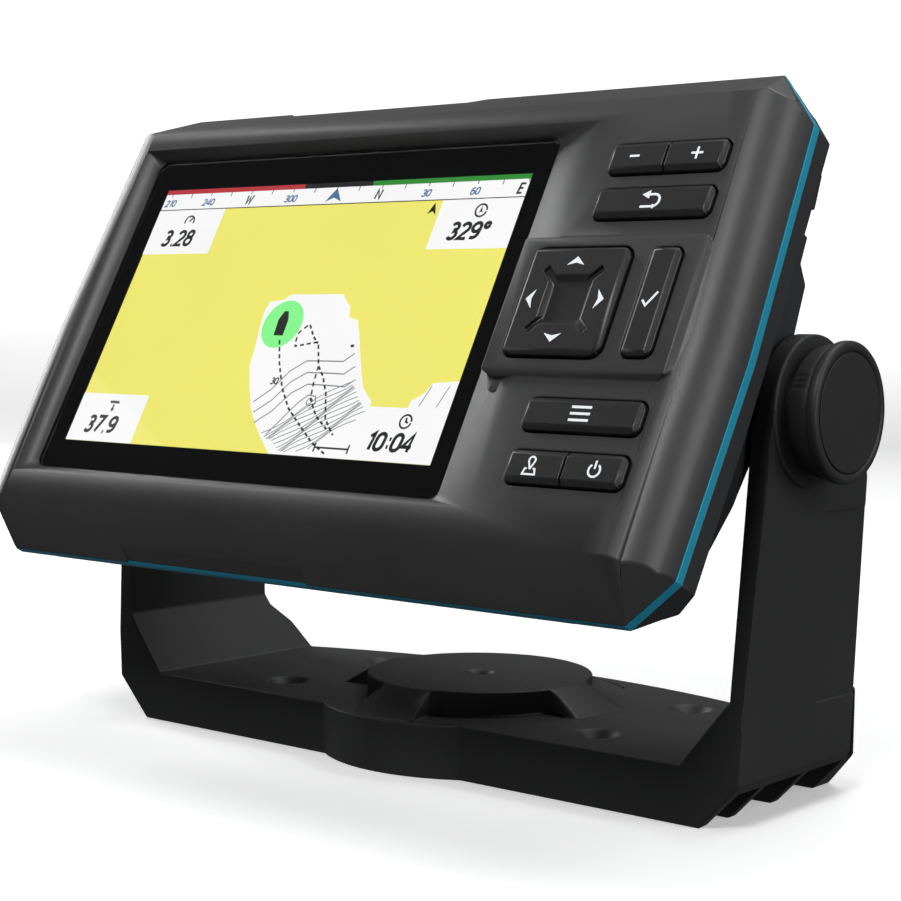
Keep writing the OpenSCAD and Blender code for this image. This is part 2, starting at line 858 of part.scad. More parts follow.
// Front view of the U
module bracket_front() {
    t = 100;
    outer = [[foot_x, 0], [corner_x, corner_z], [arm_x(t), t]];
    inner = [[arm_x(t) - arm_t, t], inner_high, inner_low];
    right = concat(outer, inner);
    n = len(right);
    polygon(concat(right, [for (i = [n - 1:-1:0]) [-right[i].x, right[i].y]]));
}

// Side view: straight arms under round tops, spreading into the base at the back
module bracket_side() {
    back = [arm_rear, arm_step] - [pivot_y, pivot_z];
    turn = atan2(back.y, back.x) + acos(boss_r / norm(back));
    touch = [pivot_y + boss_r * cos(turn), pivot_z + boss_r * sin(turn)];
    translate([pivot_y, pivot_z]) circle(r = boss_r, $fn = 96);
    polygon([[base_front, -1], [base_front, 20], [pivot_y - boss_r, pivot_z], [pivot_y, pivot_z],
             touch, [arm_rear, arm_step], [arm_rear, 22], [25, plate_z], [base_rear + 2, plate_z],
             [base_rear + 2, -1]]);
}

// Plan of the base: straight front with a round bulge, long arc at the back
module bracket_plan(inset = 0) {
    intersection() {
        translate([0, base_rear - rear_arc]) circle(r = rear_arc - inset, $fn = 360);
        translate([-100, base_front + inset]) square([200, base_rear - base_front]);
    }
    intersection() {
        circle(r = skirt_r - inset, $fn = 96);
        translate([-50, -50]) square([100, 60]);
    }
}

// Hollow underside, open at the bottom and at the two lower corners
module bracket_cavity() {
    difference() {
        intersection() {
            along_y(-60, 60) cavity_front();
            along_z(-1, 30) bracket_plan(bracket_wall);
            union() {
                box(-100, 100, -60, arm_rear - bracket_wall, -1, 30);
                box(-70, 70, -60, 60, -1, 30);
            }
        }
        for (y = [-18.2, -2.6])
            box(-100, 100, y - rib_t / 2, y + rib_t / 2, -2, 30);
        for (x = [-62, -27, 27, 62])
            box(x - rib_t / 2, x + rib_t / 2, -60, 60, 2, 30);
        for (i = [-1, 1], k = [-1, 1])
            translate([i * holes_x / 2, 1.1 + k * holes_y / 2, -2]) cylinder(r = 6.4, h = 30);
        translate([0, 0, -2]) cylinder(r = 6, h = 30);
    }
    difference() {
        translate([0, 0, cavity_z - 1]) cylinder(r = dome_r - 3, h = dome_z - cavity_z - 1.8);
        translate([0, 0, 0]) cylinder(r = 6, h = 30);
    }
}

module cavity_front() {
    x = corner_x - 2.7;
    right = [[74.8, cavity_z], [x, 20.4], [x, 7.2], [100, 7.2], [100, -1]];
    n = len(right);
    polygon(concat(right, [for (i = [n - 1:-1:0]) [-right[i].x, right[i].y]]));
}

module dome() {
    difference() {
        translate([0, 0, skirt_z]) cylinder(r1 = skirt_r, r2 = dome_r, h = dome_z - skirt_z, $fn = 96);
        for (a = [45, 135, 225, 315]) rotate([0, 0, a]) difference() {
            along_z(plate_z, dome_z + 1) polygon([[0, 0], [50, -28.9], [50, 28.9]]);
            translate([0, 0, plate_z - 1]) cylinder(r = dome_r, h = 20, $fn = 96);
        }
    }
    cylinder(r = dome_r, h = dome_z, $fn = 96);
}

module bracket_arms() {
    intersection() {
        along_x(-100, 100) bracket_side();
        along_z(0, 110) bracket_plan();
        both_sides() box(foot_x - 6, 100, base_front, base_rear, 0, 110);
    }
}

module mount_bracket() {
    color("#26282a") difference() {
        union() {
            intersection() {
                along_y(-60, 60) bracket_front();
                union() {
                    along_z(0, plate_z) bracket_plan();
                    bracket_arms();
                }
            }
            dome();
            both_sides() arm_pad();
        }
        bracket_cavity();
        // bevel down the back edge of each arm, and a shallow step on its outer face
        both_sides() translate([corner_x, 0, corner_z]) rotate([0, atan(lean), 0]) {
            along_z(-5, 70) polygon([[0.9, 10.2], [-2.8, arm_rear + 0.2], [4, arm_rear + 2], [4, 10.2]]);
            along_x(-0.5, 5) polygon([[-3.3, 12], [-4.9, 50], [arm_rear + 5, 50], [arm_rear + 5, 12]]);
        }
        // flat seats for washer and knob
        both_sides() {
            rod_x(boss_r + 3, pivot_y, pivot_z, arm_out, arm_out + 10);
            rod_x(boss_r + 0.1, pivot_y, pivot_z, arm_in - 6, arm_in);
        }
        rod_x(stud_bore, pivot_y, pivot_z, -100, 100);
        // screw holes with sunk heads
        for (i = [-1, 1], k = [-1, 1])
            translate([i * holes_x / 2, 1.1 + k * holes_y / 2, 0]) {
                translate([0, 0, -1]) cylinder(r = hole_r, h = 30);
                translate([0, 0, plate_z - 2.2]) cylinder(r1 = hole_r, r2 = 5, h = 2.21);
            }
        translate([0, 0, -1]) cylinder(r = 2.2, h = 30);
        translate([0, 0, dome_z - 1.3]) cylinder(r1 = 2.2, r2 = 3.5, h = 1.31);
    }
}

module arm_pad() {
    rod_x(boss_r, pivot_y, pivot_z, arm_in, arm_out);
}

mount_bracket();
front_bezel();
accent_trim();
rear_cover();
case_gasket();
case_screws();
display_lens();
lens_gasket();
lcd_panel();
lcd_backlight();
lcd_ribbon();
main_board();
board_screws();
board_shields();
board_chips();
gps_antenna();
sonar_transformer();
power_capacitors();
buzzer();
keypad_board();
keypad_ribbon();
key_switches();
keypad_mat();
socket_shell();
socket_pins();
socket_seal();
socket_nut();
zoom_out_key();
zoom_in_key();
back_key();
dpad_key();
dpad_pivot();
select_key();
menu_key();
mark_key();
power_key();
pivot_insert_left();
pivot_insert_right();
ear_washer_left();
ear_washer_right();
knob_left();
knob_right();
knob_cap_left();
knob_cap_right();
knob_stud_left();
knob_stud_right();
knob_washer_left();
knob_washer_right();
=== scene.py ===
"""Looks for the keyed chartplotter display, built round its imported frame.

Everything is in metres. Shapes on the head are drawn upright in millimetres about the tilt axis:
x to the right, y into the head, z up. HEAD then puts them in place.
"""
import json
import math

import bmesh
import bpy
from mathutils import Matrix, Vector
from mathutils.bvhtree import BVHTree

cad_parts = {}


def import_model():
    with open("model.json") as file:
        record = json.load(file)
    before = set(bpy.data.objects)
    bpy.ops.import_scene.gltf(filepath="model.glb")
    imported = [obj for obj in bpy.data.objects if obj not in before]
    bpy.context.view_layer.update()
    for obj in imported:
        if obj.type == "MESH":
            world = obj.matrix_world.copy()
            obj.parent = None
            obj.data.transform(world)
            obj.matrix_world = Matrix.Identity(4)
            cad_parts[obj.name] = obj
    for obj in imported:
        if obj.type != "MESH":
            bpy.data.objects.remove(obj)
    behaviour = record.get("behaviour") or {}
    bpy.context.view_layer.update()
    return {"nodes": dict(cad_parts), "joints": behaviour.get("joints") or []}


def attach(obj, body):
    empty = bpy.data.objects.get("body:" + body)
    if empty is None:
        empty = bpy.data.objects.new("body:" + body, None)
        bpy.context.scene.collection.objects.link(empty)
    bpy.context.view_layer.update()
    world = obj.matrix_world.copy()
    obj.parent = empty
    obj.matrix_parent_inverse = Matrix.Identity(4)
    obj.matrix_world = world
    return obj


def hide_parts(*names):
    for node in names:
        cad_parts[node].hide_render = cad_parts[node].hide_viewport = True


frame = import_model()
MM = 0.001
RIGHT = Vector((1, 0, 0))
ROUNDING_TRIES = 5
STRAY_REACH = 2.5 * MM
WELD = 2e-5
FLAT_DEG = 0.6
OFF_SURFACE = 0.8

# ---------------------------------------------------------------- frame
JOINTS = {j["name"]: j for j in frame["joints"]}
PIVOT = Vector(JOINTS["head_tilt"]["pos_m"])
INTO = Vector(JOINTS["menu_press"]["axis"]).normalized()
UP = RIGHT.cross(INTO)
HEAD = Matrix.Translation(PIVOT) @ Matrix((RIGHT, INTO, UP)).transposed().to_4x4()


class Box:
    """A CAD node's box in head millimetres."""

    def __init__(self, node):
        inverse = HEAD.inverted()
        points = [inverse @ v.co / MM for v in frame["nodes"][node].data.vertices]
        self.lo = Vector([min(p[i] for p in points) for i in range(3)])
        self.hi = Vector([max(p[i] for p in points) for i in range(3)])
        self.mid = (self.lo + self.hi) / 2
        self.size = self.hi - self.lo


LENS = Box("display_lens")
PANEL = Box("lcd_panel")


# ---------------------------------------------------------------- mesh building
class Solid:
    """Gathers closed pieces of one mesh in millimetres."""

    def __init__(self):
        self.verts = []
        self.faces = []

    def add(self, verts, faces):
        base = len(self.verts)
        self.verts += verts
        self.faces += [[base + i for i in f] for f in faces]

    def prism(self, outline, near, far):
        """A flat plate: outline is (x, z) points, near and far its front and back in y."""
        area = sum(a[0] * b[1] - b[0] * a[1] for a, b in zip(outline, outline[1:] + outline[:1]))
        if area < 0:
            outline = outline[::-1]
        n = len(outline)
        verts = [(x, near, z) for x, z in outline] + [(x, far, z) for x, z in outline]
        sides = [[i, i + n, (i + 1) % n + n, (i + 1) % n] for i in range(n)]
        self.add(verts, [list(range(n)), list(range(2 * n - 1, n - 1, -1))] + sides)

    def ring(self, outer, inner, near, far):
        """A flat plate with a hole; outer and inner have the same number of points."""
        n = len(outer)
        verts = [(x, y, z) for loop, y in ((outer, near), (inner, near), (outer, far), (inner, far))
                 for x, z in loop]
        for i in range(n):
            j = (i + 1) % n
            o, k, p, q = (range(n * m, n * m + n) for m in range(4))
            self.faces += [[len(self.verts) + v for v in f] for f in (
                [o[i], o[j], k[j], k[i]], [p[j], p[i], q[i], q[j]],
                [o[j], o[i], p[i], p[j]], [k[i], k[j], q[j], q[i]])]
        self.verts += verts

    def stroke(self, points, width, near, far, closed=False):
        """A line of constant width along (x, z) points."""
        pts = [Vector(p) for p in points]
        n = len(pts)
        left, right = [], []
        for i, p in enumerate(pts):
            before = pts[i - 1] if i or closed else None
            after = pts[(i + 1) % n] if i < n - 1 or closed else None
            d_in = (p - before).normalized() if before is not None else (after - p).normalized()
            d_out = (after - p).normalized() if after is not None else d_in
            normal = Vector((-(d_in.y + d_out.y), d_in.x + d_out.x))
            normal = normal.normalized() if normal.length > 1e-6 else Vector((-d_in.y, d_in.x))
            reach = width / 2 / max(0.45, normal.dot(Vector((-d_in.y, d_in.x))))
            left.append(p + normal * reach)
            right.append(p - normal * reach)
        if closed:
            self.ring([tuple(p) for p in right], [tuple(p) for p in left], near, far)
        else:
            self.prism_strip(left, right, near, far)

    def prism_strip(self, left, right, near, far):
        n = len(left)
        verts = [(p.x, y, p.y) for side, y in ((left, near), (right, near), (left, far), (right, far))
                 for p in side]
        a, b, c, d = (list(range(n * m, n * m + n)) for m in range(4))
        faces = [[a[0], c[0], d[0], b[0]], [a[-1], b[-1], d[-1], c[-1]]]
        for i in range(n - 1):
            faces += [[a[i], b[i], b[i + 1], a[i + 1]], [c[i + 1], d[i + 1], d[i], c[i]],
                      [a[i + 1], c[i + 1], c[i], a[i]], [b[i], d[i], d[i + 1], b[i + 1]]]
        self.add(verts, faces)

    def lathe(self, profile, steps, radius=lambda r, x, angle: r):
        """Turns an open (r, x) profile that starts and ends on the axis about X."""
        first, last = profile[0], profile[-1]
        rings = profile[1:-1]
        verts = [(first[1], 0, 0)]
        for r, x in rings:
            for k in range(steps):
                angle = 2 * math.pi * k / steps
                rr = radius(r, x, angle)
                verts.append((x, rr * math.cos(angle), rr * math.sin(angle)))
        verts.append((last[1], 0, 0))
        end = len(verts) - 1
        faces = []
        for k in range(steps):
            m = (k + 1) % steps
            faces.append([0, 1 + m, 1 + k])
            for i in range(len(rings) - 1):
                a, b = 1 + i * steps, 1 + (i + 1) * steps
                faces.append([a + k, a + m, b + m, b + k])
            a = 1 + (len(rings) - 1) * steps
            faces.append([a + k, a + m, end])
        self.add(verts, faces)


def arc(cx, cz, r, start, stop, steps):
    """Points on a circle, angles in degrees."""
    return [(cx + r * math.cos(math.radians(start + (stop - start) * i / steps)),
             cz + r * math.sin(math.radians(start + (stop - start) * i / steps))) for i in range(steps + 1)]


def round_rect(cx, cz, w, h, r, steps=6):
    points = []
    for sx, sz, start in ((1, -1, -90), (1, 1, 0), (-1, 1, 90), (-1, -1, 180)):
        points += arc(cx + sx * (w / 2 - r), cz + sz * (h / 2 - r), r, start, start + 90, steps)
    return points


def put(name, solid, material, body, place=HEAD, replaces=(), smooth=30):
    """Makes a gathered solid into a piece that rides on a body."""
    mesh = bpy.data.meshes.new(name)
    mesh.from_pydata([tuple(Vector(v) * MM) for v in solid.verts], [], solid.faces)
    mesh.transform(place)
    bm = bmesh.new()
    bm.from_mesh(mesh)
    bmesh.ops.recalc_face_normals(bm, faces=bm.faces)
    bm.to_mesh(mesh)
    bm.free()
    return place_mesh(name, mesh, material, body, replaces, smooth)


def place_mesh(name, mesh, material, body, replaces=(), smooth=30):
    mesh.materials.clear()
    mesh.materials.append(material)
    mesh.shade_smooth()
    mesh.set_sharp_from_angle(angle=math.radians(smooth))
    piece = bpy.data.objects.new(name, mesh)
    bpy.context.scene.collection.objects.link(piece)
    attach(piece, body)
    if replaces:
        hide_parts(*replaces)
    # Broad faces keep their own direction, and only the narrow roundings between them turn
    weighted = piece.modifiers.new("face_weighted_normals", "WEIGHTED_NORMAL")
    weighted.keep_sharp = True
    weighted.weight = 100
    return piece


def edge_direction(edge, start):
    return (edge.other_vert(start).co - start.co).normalized()


def has_room(edge, sharp, width):
    """True where the edges that meet this one are long enough to be cut back by its rounding."""
    for vert in edge.verts:
        along = edge_direction(edge, vert)
        for other in vert.link_edges:
            if other is edge or along.dot(edge_direction(other, vert)) < -0.9:
                continue
            if other.calc_length() < width * (2.1 if other in sharp else 1.1):
                return False
    return True


def rounded(name, node, width, material, body, angle=12, segments=3):
    """A copy of a CAD node with its sharp edges rounded, which stands for that node.

    Where a rounding throws a point or a face off the surface, the edges near it stay sharp.
    """
    width *= MM
    plain = bmesh.new()
    plain.from_mesh(frame["nodes"][node].data)
    bmesh.ops.remove_doubles(plain, verts=plain.verts, dist=WELD)
    bmesh.ops.dissolve_degenerate(plain, edges=plain.edges, dist=WELD)
    bmesh.ops.dissolve_limit(plain, angle_limit=math.radians(FLAT_DEG), verts=plain.verts, edges=plain.edges)
    surface = BVHTree.FromBMesh(plain)
    strays = []
    for attempt in range(ROUNDING_TRIES):
        bm = plain.copy()
        sharp = {e for e in bm.edges
                 if len(e.link_faces) == 2 and e.calc_face_angle() > math.radians(angle)}
        chosen = [e for e in bm.edges if e in sharp and has_room(e, sharp, width)
                  and not any((v.co - p).length < STRAY_REACH for v in e.verts for p in strays)]
        if attempt == ROUNDING_TRIES - 1:
            chosen = []
        bmesh.ops.bevel(bm, geom=chosen, offset=width, segments=segments, profile=0.5, affect="EDGES",
                        clamp_overlap=False, miter_outer="SHARP")
        bmesh.ops.triangulate(bm, faces=[f for f in bm.faces if len(f.verts) > 4])
        new = [v.co.copy() for v in bm.verts if surface.find_nearest(v.co)[3] > OFF_SURFACE * width]
        for face in bm.faces:
            if surface.find_nearest(face.calc_center_median())[3] > OFF_SURFACE * width:
                new += [v.co.copy() for v in face.verts]
        if not new:
            break
        strays += new
        bm.free()
    bmesh.ops.recalc_face_normals(bm, faces=bm.faces)
    mesh = bpy.data.meshes.new(name)
    bm.to_mesh(mesh)
    bm.free()
    plain.free()
    return place_mesh(name, mesh, material, body, (node,), smooth=24)


# ---------------------------------------------------------------- materials
def new_material(name):
    m = bpy.data.materials.new(name)
    m.use_nodes = True
    tree = m.node_tree
    return m, tree, tree.nodes["Principled BSDF"]


def noise(tree, scale, detail=3, rough=0.6, stretch=(1, 1, 1)):
    coords = tree.nodes.new("ShaderNodeTexCoord")
    mapping = tree.nodes.new("ShaderNodeMapping")
    mapping.inputs["Scale"].default_value = stretch
    texture = tree.nodes.new("ShaderNodeTexNoise")
    texture.inputs["Scale"].default_value = scale
    texture.inputs["Detail"].default_value = detail
    texture.inputs["Roughness"].default_value = rough
    tree.links.new(coords.outputs["Object"], mapping.inputs["Vector"])
    tree.links.new(mapping.outputs["Vector"], texture.inputs["Vector"])
    return texture.outputs["Fac"]


def ramp(tree, value, low, high, start=0.3, stop=0.7):
    """Maps a 0 to 1 value to a range."""
    node = tree.nodes.new("ShaderNodeMapRange")
    node.inputs["From Min"].default_value = start
    node.inputs["From Max"].default_value = stop
    node.inputs["To Min"].default_value = low
    node.inputs["To Max"].default_value = high
    tree.links.new(value, node.inputs["Value"])
    return node.outputs["Result"]


def tint(tree, value, dark, light):
    node = tree.nodes.new("ShaderNodeMix")
    node.data_type = "RGBA"
    node.inputs["A"].default_value = (*dark, 1)
    node.inputs["B"].default_value = (*light, 1)
    tree.links.new(value, node.inputs["Factor"])
    return node.outputs["Result"]


def bump(tree, value, height, strength=1.0, edge=0.0):
    """Height in metres; edge rounds hard corners in the shading by that radius."""
    node = tree.nodes.new("ShaderNodeBump")
    node.inputs["Strength"].default_value = strength
    node.inputs["Distance"].default_value = height
    tree.links.new(value, node.inputs["Height"])
    if edge:
        bevel = tree.nodes.new("ShaderNodeBevel")
        bevel.samples = 6
        bevel.inputs["Radius"].default_value = edge
        tree.links.new(bevel.outputs["Normal"], node.inputs["Normal"])
    return node.outputs["Normal"]


def plastic(name, colour, rough=0.45, grain=0.25, depth=0.012, edge=0.0, specular=0.5, vary=0.12):
    """Moulded plastic with a fine spark-eroded grain of the given size in millimetres."""
    m, tree, shader = new_material(name)
    broad = noise(tree, 28, 4)
    fine = noise(tree, 1 / (grain * MM), 2)
    dark = tuple(c * (1 - vary) for c in colour)
    light = tuple(c * (1 + vary) for c in colour)
    tree.links.new(tint(tree, ramp(tree, broad, 0, 1), dark, light), shader.inputs["Base Color"])
    tree.links.new(ramp(tree, fine, rough - 0.05, rough + 0.06), shader.inputs["Roughness"])
    tree.links.new(bump(tree, fine, depth * MM, 0.8, edge * MM), shader.inputs["Normal"])
    shader.inputs["Specular IOR Level"].default_value = specular
    return m


def metal(name, colour, rough=0.3, stretch=(1, 1, 1), scale=900, depth=0.004):
    """Metal with fine machining or rolling marks."""
    m, tree, shader = new_material(name)
    marks = noise(tree, scale, 3, 0.7, stretch)
    stains = noise(tree, 60, 4)
    tree.links.new(tint(tree, ramp(tree, stains, 0, 1), tuple(c * 0.86 for c in colour), colour),
                   shader.inputs["Base Color"])
    tree.links.new(ramp(tree, marks, rough - 0.08, rough + 0.12), shader.inputs["Roughness"])
    tree.links.new(bump(tree, marks, depth * MM, 0.6), shader.inputs["Normal"])
    shader.inputs["Metallic"].default_value = 1.0
    return m


def lit(name, colour, strength=1.0):
    """A lit part of the display: an even glow with the slight mottling of a backlight."""
    m, tree, shader = new_material(name)
    glow = noise(tree, 22, 2)
    tree.links.new(tint(tree, ramp(tree, glow, 0, 1), tuple(c * 0.96 for c in colour), colour),
                   shader.inputs["Emission Color"])
    shader.inputs["Emission Strength"].default_value = strength
    shader.inputs["Base Color"].default_value = (0.01, 0.01, 0.01, 1)
    shader.inputs["Roughness"].default_value = 0.6
    shader.inputs["Specular IOR Level"].default_value = 0.1
    return m


def lens_material():
    m, tree, shader = new_material("lens_glass")
    smears = noise(tree, 45, 3)
    tree.links.new(ramp(tree, smears, 0.015, 0.04), shader.inputs["Roughness"])
    shader.inputs["Base Color"].default_value = (1, 1, 1, 1)
    shader.inputs["Transmission Weight"].default_value = 1.0
    shader.inputs["IOR"].default_value = 1.3
    return m


def circuit_material():
    """Solder mask over a faint pattern of copper tracks."""
    m, tree, shader = new_material("circuit_board")
    coords = tree.nodes.new("ShaderNodeTexCoord")
    brick = tree.nodes.new("ShaderNodeTexBrick")
    brick.inputs["Scale"].default_value = 160
    brick.inputs["Color1"].default_value = (0.008, 0.075, 0.032, 1)
    brick.inputs["Color2"].default_value = (0.012, 0.115, 0.05, 1)
    brick.inputs["Mortar"].default_value = (0.03, 0.20, 0.08, 1)
    brick.inputs["Mortar Size"].default_value = 0.03
    tree.links.new(coords.outputs["Object"], brick.inputs["Vector"])
    tree.links.new(brick.outputs["Color"], shader.inputs["Base Color"])
    tree.links.new(bump(tree, brick.outputs["Fac"], 0.02 * MM, 0.6), shader.inputs["Normal"])
    shader.inputs["Roughness"].default_value = 0.32
    return m


CASE = plastic("case_plastic", (0.056, 0.056, 0.057), 0.42, edge=0.35)
COVER = plastic("cover_plastic", (0.024, 0.025, 0.027), 0.5, edge=0.35)
BRACKET = plastic("bracket_plastic", (0.023, 0.0235, 0.0245), 0.52, grain=0.4, depth=0.02, edge=0.5)
TEAL = plastic("trim_teal", (0.010, 0.330, 0.500), 0.42, vary=0.05)
KEY = plastic("key_plastic", (0.026, 0.026, 0.027), 0.36, grain=0.2, edge=0.2)
KNOB = plastic("knob_plastic", (0.020, 0.020, 0.021), 0.5, edge=0.15)
RUBBER = plastic("black_rubber", (0.014, 0.014, 0.015), 0.75, grain=0.35, depth=0.02)
SILICONE = plastic("mat_silicone", (0.26, 0.27, 0.28), 0.6)
CHIP = plastic("chip_black", (0.016, 0.016, 0.018), 0.55)
SOCKET = plastic("socket_plastic", (0.014, 0.014, 0.016), 0.4)
CERAMIC = plastic("antenna_ceramic", (0.50, 0.38, 0.26), 0.5, grain=0.6)
FERRITE = plastic("ferrite", (0.045, 0.043, 0.045), 0.65, grain=0.5)
FLEX = plastic("flex_film", (0.36, 0.15, 0.035), 0.3, grain=1.2, depth=0.004)
PRINT = plastic("print_white_painted_glow", (0.80, 0.81, 0.82), 0.5, depth=0.004, vary=0.03)
# The white print also glows faintly, a painted glow that makes it read brighter than the lamps light it
PRINT_PAINTED_GLOW_SHADER = PRINT.node_tree.nodes["Principled BSDF"]
PRINT_PAINTED_GLOW_SHADER.inputs["Emission Color"].default_value = (0.9, 0.95, 1.0, 1)
PRINT_PAINTED_GLOW_SHADER.inputs["Emission Strength"].default_value = 0.4
INK = plastic("lens_ink", (0.0016, 0.0016, 0.0018), 0.6, depth=0.002, specular=0.05)
STAINLESS = metal("stainless", (0.58, 0.59, 0.60), 0.28)
TIN = metal("tin_shield", (0.62, 0.62, 0.60), 0.34, stretch=(1, 8, 1))
ALUMINIUM = metal("display_frame", (0.60, 0.61, 0.62), 0.38, stretch=(12, 1, 1))
CAN = metal("capacitor_can", (0.50, 0.51, 0.53), 0.3)
BRASS = metal("brass", (0.62, 0.43, 0.17), 0.3)
BOARD = circuit_material()
GLASS = lens_material()

CARRIED = {
    GLASS: ["display_lens"], RUBBER: ["case_gasket", "lens_gasket", "socket_seal", "ear_washer_left",
                                      "ear_washer_right", "dpad_pivot"],
    STAINLESS: ["case_screws", "board_screws", "socket_nut", "key_switches", "knob_stud_left",
                "knob_stud_right", "knob_washer_left", "knob_washer_right"],
    ALUMINIUM: ["lcd_backlight"], FLEX: ["lcd_ribbon", "keypad_ribbon"],
    BOARD: ["main_board", "keypad_board"], TIN: ["board_shields"], CHIP: ["board_chips", "buzzer"],
    CERAMIC: ["gps_antenna"], FERRITE: ["sonar_transformer"], CAN: ["power_capacitors"],
    SILICONE: ["keypad_mat"], BRASS: ["socket_pins", "pivot_insert_left", "pivot_insert_right"],
    SOCKET: ["socket_shell"], INK: ["lcd_panel"],
}
for material, nodes in CARRIED.items():
    for node in nodes:
        mesh = frame["nodes"][node].data
        mesh.materials.clear()
        mesh.materials.append(material)

# ---------------------------------------------------------------- case, bracket and keys
rounded("bezel_shell", "front_bezel", 0.35, CASE, "head")
rounded("rear_shell", "rear_cover", 0.4, COVER, "head")
rounded("trim_band", "accent_trim", 0.12, TEAL, "head")
rounded("bail_bracket", "mount_bracket", 0.45, BRACKET, "base")

KEYS = ["zoom_out", "zoom_in", "back", "select", "menu", "mark", "power"]
for key in KEYS:
    rounded(key + "_cap", key + "_key", 0.18, KEY, key + "_button")
rounded("dpad_cap", "dpad_key", 0.2, KEY, "dpad_button")

# ---------------------------------------------------------------- key symbols
PRINT_DEPTH = 0.06


def key_centre(key):
    """Middle of a key's cap, without the flange behind it, and the height of its top."""
    box = Box(key + "_key")
    return box.mid.x, box.mid.z, box.lo.y


def symbol(key, strokes=(), plates=(), width=0.55):
    """White print on a key: strokes and filled outlines about the middle of the cap."""
    cx, cz, top = key_centre(key)
    solid = Solid()
    for points in strokes:
        solid.stroke([(cx + x, cz + z) for x, z in points], width, top - PRINT_DEPTH, top + 0.05)
    for points in plates:
        solid.prism([(cx + x, cz + z) for x, z in points], top - PRINT_DEPTH, top + 0.05)
    put(key + "_print", solid, PRINT, key + "_button")


symbol("zoom_out", [[(-1.1, 0), (1.1, 0)]], width=0.45)
symbol("zoom_in", [[(-1.3, 0), (1.3, 0)], [(0, -1.3), (0, 1.3)]], width=0.45)
symbol("back", [[(-2.0, -1.4), (0.7, -1.4)] + arc(0.7, -0.1, 1.3, -90, 90, 8) + [(-0.6, 1.2)]],
       [[(-0.5, 2.1), (-2.2, 1.2), (-0.5, 0.3)]], 0.48)
symbol("select", [[(-1.4, -0.2), (-0.4, -1.3), (1.5, 1.5)]], width=0.45)
symbol("menu", [[(-2.2, h), (2.2, h)] for h in (-1.3, 0, 1.3)], width=0.5)
symbol("power", [arc(0, -0.2, 1.25, 125, 415, 16), [(0, 0.1), (0, 1.7)]], width=0.4)
symbol("mark", [arc(0, 0.95, 0.72, -35, 215, 10) + [(0, -0.8)], [(0.6, 0.54), (0, -0.8)],
                [(-0.7, -0.7), (-1.1, -0.7), (-1.4, -1.8), (1.4, -1.8), (1.1, -0.7), (0.7, -0.7)]],
       width=0.36)


def dpad_arrows():
    cx, cz, top = key_centre("dpad")
    solid = Solid()
    for quarter in range(4):
        turn = Matrix.Rotation(math.radians(90 * quarter), 2)
        points = [turn @ Vector(p) for p in ((-2.0, 7.2), (0, 7.7), (2.0, 7.2), (0, 9.0))]
        solid.prism([(cx + p.x, cz + p.y) for p in points], top - PRINT_DEPTH, top + 0.05)
    put("dpad_print", solid, PRINT, "dpad_button")


dpad_arrows()

# ---------------------------------------------------------------- knobs
FLUTE_GROUPS = 4
FLUTES = 3
FLUTE_STEP = math.radians(5.5)


def knob_radius(r, x, angle):
    """Pinches the grip into groups of fine flutes near the back of the rim."""
    depth = 0.32 * max(0.0, 1 - abs(x - 2.4) / 1.6) ** 0.5 if x < 4 and r > 8 else 0
    group = 2 * math.pi / FLUTE_GROUPS
    off = (angle + group / 2) % group - group / 2
    if abs(off) > FLUTES * FLUTE_STEP / 2:
        return r
    return r - depth * (0.5 - 0.5 * math.cos(2 * math.pi * (off / FLUTE_STEP + 0.5)))


def knob(side, sign):
    box = Box("knob_" + side)
    inner = box.lo.x if sign > 0 else -box.hi.x
    profile = [(0, 0.0), (10.6, 0.0), (11.2, 0.15), (12.0, 0.5), (12.3, 0.9), (12.45, 1.4), (12.6, 1.8),
               (12.7, 2.2), (12.8, 2.6), (12.85, 3.0), (12.9, 3.4), (12.95, 4.2), (12.9, 4.4), (12.75, 4.5),
               (12.75, 4.75), (12.95, 4.9), (13.3, 5.0), (13.45, 5.2), (13.5, 5.5), (13.5, 6.3),
               (13.4, 6.65), (13.15, 6.9), (12.8, 7.05), (12.4, 7.1), (12.0, 7.05), (11.7, 6.9),
               (11.55, 6.7), (11.5, 6.5), (0, 6.5)]
    place = HEAD @ Matrix.Diagonal((sign, 1, 1, 1)) @ Matrix.Translation((inner * MM, 0, 0))
    solid = Solid()
    solid.lathe(profile, 360, knob_radius)
    put("knob_grip_" + side, solid, KNOB, f"knob_{side}_grip", place,
        ("knob_" + side,), smooth=35)
    disc = Solid()
    disc.lathe([(0, 6.5), (11.2, 6.5), (11.35, 6.6), (11.35, 6.8), (11.25, 6.92), (11.05, 6.96),
                (0, 6.99)], 128)
    put("knob_face_" + side, disc, KNOB, f"knob_{side}_grip", place,
        ("knob_cap_" + side,), smooth=35)


knob("left", -1)
knob("right", 1)

# ---------------------------------------------------------------- display picture
SCREEN_W = 108
SCREEN_H = 64.8
CX = PANEL.mid.x
CZ = PANEL.mid.z
LAYER = 0.022
SHEET = 0.016

WHITE = lit("screen_white", (1.0, 1.0, 1.0))
LAND = lit("screen_land", (0.92, 0.87, 0.17))
GREEN = lit("screen_green", (0.25, 0.98, 0.28))
RED_BAR = lit("screen_red", (0.50, 0.035, 0.05))
GREEN_BAR = lit("screen_starboard", (0.03, 0.27, 0.035))
DARK = lit("screen_dark", (0.012, 0.012, 0.014))
GREY = lit("screen_contour", (0.22, 0.23, 0.25))
BLUE = lit("screen_blue", (0.07, 0.17, 0.34))


